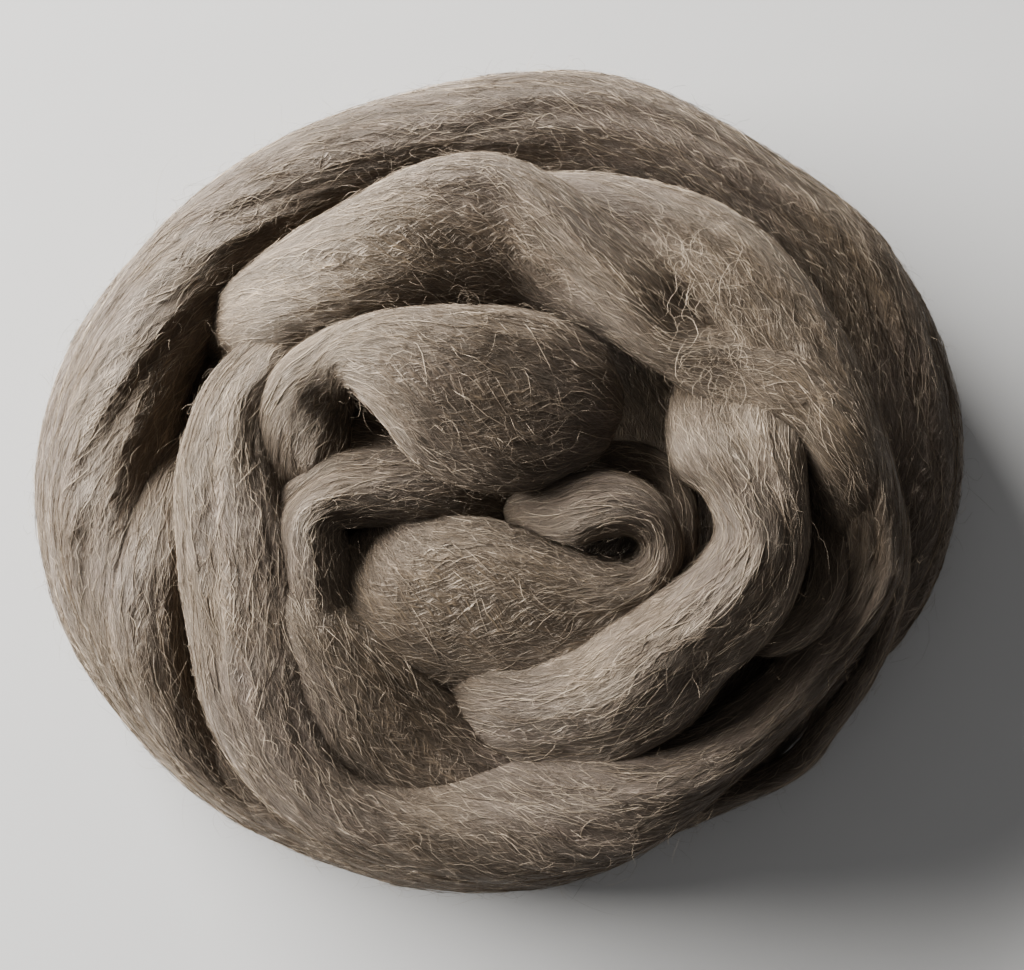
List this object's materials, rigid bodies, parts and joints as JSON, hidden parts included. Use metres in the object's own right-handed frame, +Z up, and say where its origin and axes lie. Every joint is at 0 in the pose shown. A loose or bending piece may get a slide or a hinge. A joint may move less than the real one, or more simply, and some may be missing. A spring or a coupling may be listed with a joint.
{
  "type": "wool roving",
  "caption": "Loose nest of untwisted combed wool roving, one thick soft strand laid round in rings with its last length folded to and fro over the middle.",
  "frame": {"origin": "middle of the underside, where the nest rests", "axes": "+Z up from the surface it lies on, +X along the nest's longest width, +Y towards the wide arch of strand at its far side"},
  "size_m": [0.2438, 0.2138, 0.0726],
  "materials": {
    "combed_wool": "grey-brown combed wool with a soft dull sheen, finely streaked along the strand"
  },
  "bodies": {
    "root": {"roving": "combed_wool"}
  },
  "joints": []
}
